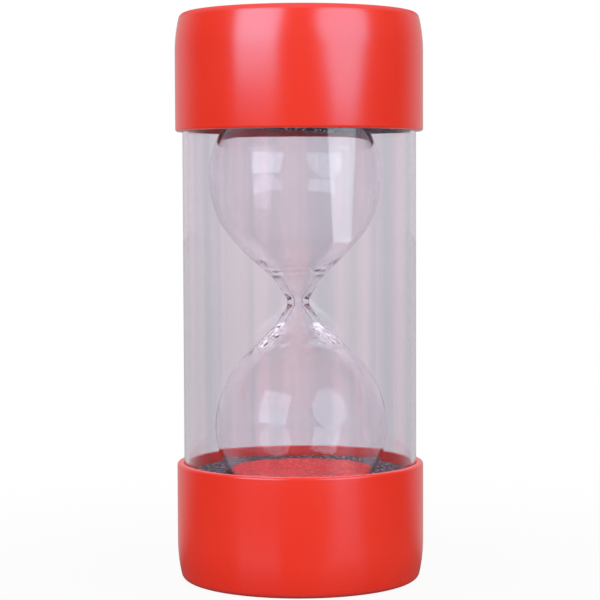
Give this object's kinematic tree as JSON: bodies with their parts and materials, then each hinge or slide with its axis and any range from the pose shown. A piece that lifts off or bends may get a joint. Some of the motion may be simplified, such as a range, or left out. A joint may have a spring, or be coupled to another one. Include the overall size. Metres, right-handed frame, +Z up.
{
  "type": "sand timer",
  "caption": "Large sand timer: a clear tube with red moulded end caps round a blown glass double-bulb vessel held in grey foam, with red sand lying level in the lower bulb.",
  "frame": {"origin": "middle of the lower cap's flat face, on the surface that the timer stands on", "axes": "+Z up along the tube's axis, -Y towards the front of the picture, +X to its right"},
  "size_m": [0.07, 0.07, 0.16],
  "materials": {
    "cap_plastic": "satin moulded red plastic",
    "clear_plastic": "polished clear plastic with a faint grey cast",
    "blown_glass": "clear blown glass",
    "stopper_rubber": "moulded grey rubber",
    "red_sand": "fine dyed sand",
    "grey_foam": "dark grey speckled foam",
    "clear_glue": "cured clear glue"
  },
  "bodies": {
    "root": {"lower_end_cap": "cap_plastic", "upper_end_cap": "cap_plastic", "clear_tube": "clear_plastic", "glass_vessel": "blown_glass", "fill_stopper": "stopper_rubber", "sand": "red_sand", "lower_foam_ring": "grey_foam", "upper_foam_ring": "grey_foam", "lower_foam_disc": "grey_foam", "upper_foam_disc": "grey_foam", "lower_glue_bead": "clear_glue", "upper_glue_bead": "clear_glue"}
  },
  "joints": []
}
